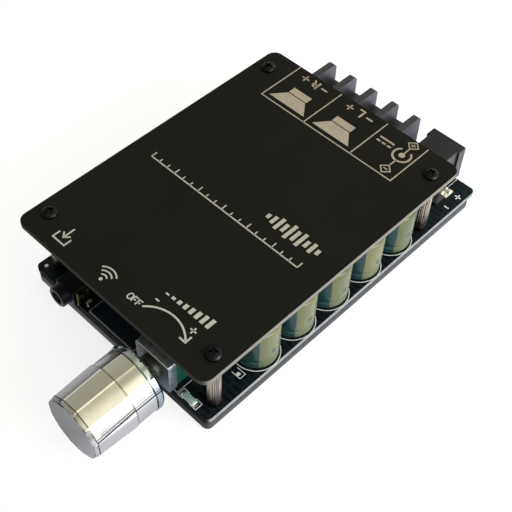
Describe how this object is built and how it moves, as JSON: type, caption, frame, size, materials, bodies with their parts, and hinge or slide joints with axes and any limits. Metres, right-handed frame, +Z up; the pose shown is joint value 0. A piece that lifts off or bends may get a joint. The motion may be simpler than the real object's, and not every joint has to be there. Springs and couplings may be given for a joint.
{
  "type": "audio amplifier board",
  "caption": "Populated amplifier board on a heatsink plate under a marked cover plate, with a volume knob in front and screw terminals and a power socket behind.",
  "frame": {"origin": "on the underside of the heatsink plate, at the middle of the main board", "axes": "+X to the right seen from the knob side, +Y from the volume knob to the speaker terminals, +Z up through the cover plate"},
  "size_m": [0.0701, 0.1377, 0.0289],
  "materials": {
    "black_board": "black solder mask on glass-fibre board",
    "cover_black": "matte black solder mask with pale printed marks",
    "plate_aluminium": "dark anodised, satin",
    "sheet_grey": "thin insulating sheet",
    "standoff_brass": "knurled, pale nickel-washed brass",
    "screw_black": "black oxide",
    "bright_steel": "bright zinc-plated steel",
    "tinned": "tinned contact metal",
    "sleeve_green": "dark green heat-shrunk sleeve with a pale stripe",
    "black_plastic": "moulded black plastic",
    "chip_black": "moulded epoxy",
    "ferrite": "ferrite",
    "wafer_green": "green insulating wafer",
    "knob_silver": "bright champagne silver",
    "shaft_metal": "turned",
    "lamp_lens": "clear pale lens"
  },
  "bodies": {
    "amplifier": {"amplifier_chip_1": "chip_black", "amplifier_chip_2": "chip_black", "audio_socket_housing": "black_plastic", "audio_socket_spring_left": "tinned", "audio_socket_spring_right": "tinned", "base_screw_1": "screw_black", "base_screw_2": "screw_black", "base_screw_3": "screw_black", "base_screw_4": "screw_black", "capacitor_1": "sleeve_green", "capacitor_2": "sleeve_green", "capacitor_3": "sleeve_green", "capacitor_4": "sleeve_green", "capacitor_5": "sleeve_green", "coil_1": "ferrite", "coil_2": "ferrite", "coil_3": "ferrite", "coil_4": "ferrite", "cover_plate": "cover_black", "cover_screw_1": "screw_black", "cover_screw_2": "screw_black", "cover_screw_3": "screw_black", "cover_screw_4": "screw_black", "heatsink_plate": "plate_aluminium", "insulating_sheet": "sheet_grey", "main_board": "black_board", "module_board": "black_board", "module_chip": "chip_black", "potentiometer_bushing": "standoff_brass", "potentiometer_frame": "bright_steel", "potentiometer_switch": "black_plastic", "potentiometer_wafer_front": "wafer_green", "potentiometer_wafer_rear": "wafer_green", "power_socket_housing": "black_plastic", "power_socket_pin": "tinned", "power_socket_spring": "tinned", "preamplifier_chip": "chip_black", "run_lamp_base": "tinned", "run_lamp_lens": "lamp_lens", "standoff_1": "standoff_brass", "standoff_2": "standoff_brass", "standoff_3": "standoff_brass", "standoff_4": "standoff_brass", "terminal_block": "black_plastic", "terminal_contact_1": "tinned", "terminal_contact_2": "tinned", "terminal_contact_3": "tinned", "terminal_contact_4": "tinned"},
    "volume_control": {"volume_knob": "knob_silver", "potentiometer_shaft": "shaft_metal"},
    "terminal_clamp_unit_1": {"terminal_screw_1": "bright_steel", "terminal_clamp_1": "bright_steel"},
    "terminal_clamp_unit_2": {"terminal_screw_2": "bright_steel", "terminal_clamp_2": "bright_steel"},
    "terminal_clamp_unit_3": {"terminal_screw_3": "bright_steel", "terminal_clamp_3": "bright_steel"},
    "terminal_clamp_unit_4": {"terminal_screw_4": "bright_steel", "terminal_clamp_4": "bright_steel"}
  },
  "joints": [
    {"name": "volume_turn", "type": "hinge", "parent": "amplifier", "child": "volume_control", "pos_m": [0.01586, -0.05625, 0.0121], "axis": [0, 1, 0], "range_deg": [0, 300]},
    {"name": "terminal_lift_1", "type": "slide", "parent": "amplifier", "child": "terminal_clamp_unit_1", "axis": [0, 0, 1], "range_m": [0, 0.0025]},
    {"name": "terminal_lift_2", "type": "slide", "parent": "amplifier", "child": "terminal_clamp_unit_2", "axis": [0, 0, 1], "range_m": [0, 0.0025]},
    {"name": "terminal_lift_3", "type": "slide", "parent": "amplifier", "child": "terminal_clamp_unit_3", "axis": [0, 0, 1], "range_m": [0, 0.0025]},
    {"name": "terminal_lift_4", "type": "slide", "parent": "amplifier", "child": "terminal_clamp_unit_4", "axis": [0, 0, 1], "range_m": [0, 0.0025]}
  ]
}
